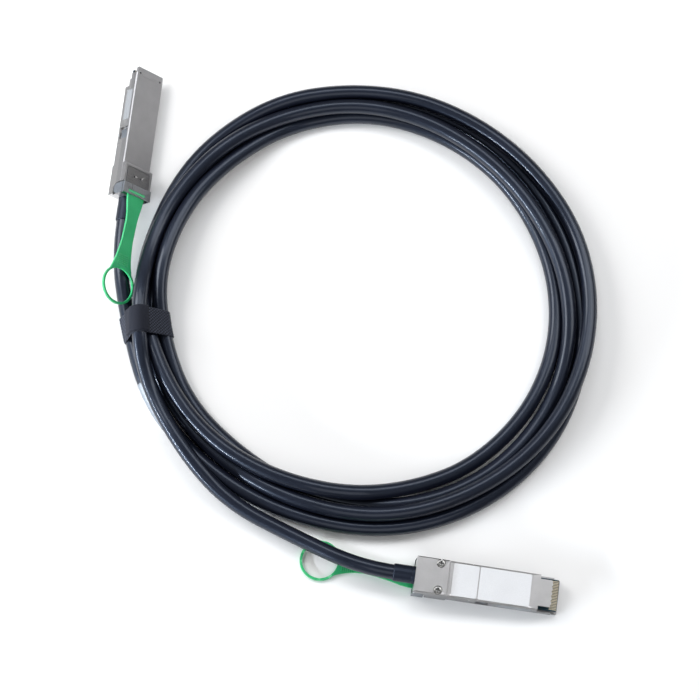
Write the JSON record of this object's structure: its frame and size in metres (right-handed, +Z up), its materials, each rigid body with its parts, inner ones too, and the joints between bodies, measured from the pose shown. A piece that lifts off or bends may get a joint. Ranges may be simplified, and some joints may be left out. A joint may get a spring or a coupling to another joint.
{
  "type": "direct attach copper cable",
  "caption": "Coiled passive twinax cable with a die-cast plug, edge contacts and a green pull tab latch at each end, tied with a hook-and-loop strap.",
  "frame": {"origin": "centre of the floor rectangle under the two plugs, on the floor that the coil lies on", "axes": "X to the right and Y away across the floor that the coiled cable lies on, Z up"},
  "size_m": [0.2579, 0.2954, 0.0254],
  "materials": {
    "die_cast": "nickel plated zinc casting, satin",
    "die_cast_cover": "nickel plated zinc casting, satin",
    "screw_steel": "bright zinc plated",
    "circuit_board": "green solder mask",
    "gold_contact": "hard gold plate",
    "chip_package": "moulded epoxy",
    "pair_insulation": "foil wrapped pairs",
    "ferrule_metal": "tin plated, crimped",
    "cable_jacket": "semi gloss PVC jacket",
    "boot_plastic": "moulded, satin",
    "latch_steel": "stamped stainless",
    "spring_steel": "drawn wire",
    "retainer_steel": "stamped stainless",
    "tab_plastic": "translucent green elastomer",
    "label_film": "bare film label",
    "strap_fabric": "woven hook and loop tape",
    "cord_label": "bare self laminating film"
  },
  "bodies": {
    "cable_and_plugs": {"base_shell_a": "die_cast", "cover_shell_a": "die_cast_cover", "cover_screws_a": "screw_steel", "paddle_card_a": "circuit_board", "contact_pads_a": "gold_contact", "memory_chip_a": "chip_package", "twinax_pairs_a": "pair_insulation", "crimp_ferrule_a": "ferrule_metal", "cable_end_a": "cable_jacket", "cable_boot_a": "boot_plastic", "return_springs_a": "spring_steel", "latch_retainer_a": "retainer_steel", "rear_label_a": "label_film", "front_label_a": "label_film", "side_label_a": "label_film", "base_shell_b": "die_cast", "cover_shell_b": "die_cast_cover", "cover_screws_b": "screw_steel", "paddle_card_b": "circuit_board", "contact_pads_b": "gold_contact", "memory_chip_b": "chip_package", "twinax_pairs_b": "pair_insulation", "crimp_ferrule_b": "ferrule_metal", "cable_end_b": "cable_jacket", "cable_boot_b": "boot_plastic", "return_springs_b": "spring_steel", "latch_retainer_b": "retainer_steel", "rear_label_b": "label_film", "front_label_b": "label_film", "side_label_b": "label_film", "cable_tail_a": "cable_jacket", "cable_coil": "cable_jacket", "cable_tail_b": "cable_jacket", "cable_strap": "strap_fabric", "cable_label": "cord_label"},
    "latch_a": {"latch_slider_a": "latch_steel", "pull_tab_a": "tab_plastic"},
    "latch_b": {"latch_slider_b": "latch_steel", "pull_tab_b": "tab_plastic"}
  },
  "joints": [
    {"name": "latch_a_slide", "type": "slide", "parent": "cable_and_plugs", "child": "latch_a", "axis": [-0.1059, -0.9943, 0.0122], "range_m": [0, 0.0025], "stiffness_N_per_m": 400, "springref_m": -0.0005, "deforming": ["return_springs_a"]},
    {"name": "latch_b_slide", "type": "slide", "parent": "cable_and_plugs", "child": "latch_b", "axis": [-0.9884, 0.1368, 0.0663], "range_m": [0, 0.0025], "stiffness_N_per_m": 400, "springref_m": -0.0005, "deforming": ["return_springs_b"]}
  ]
}
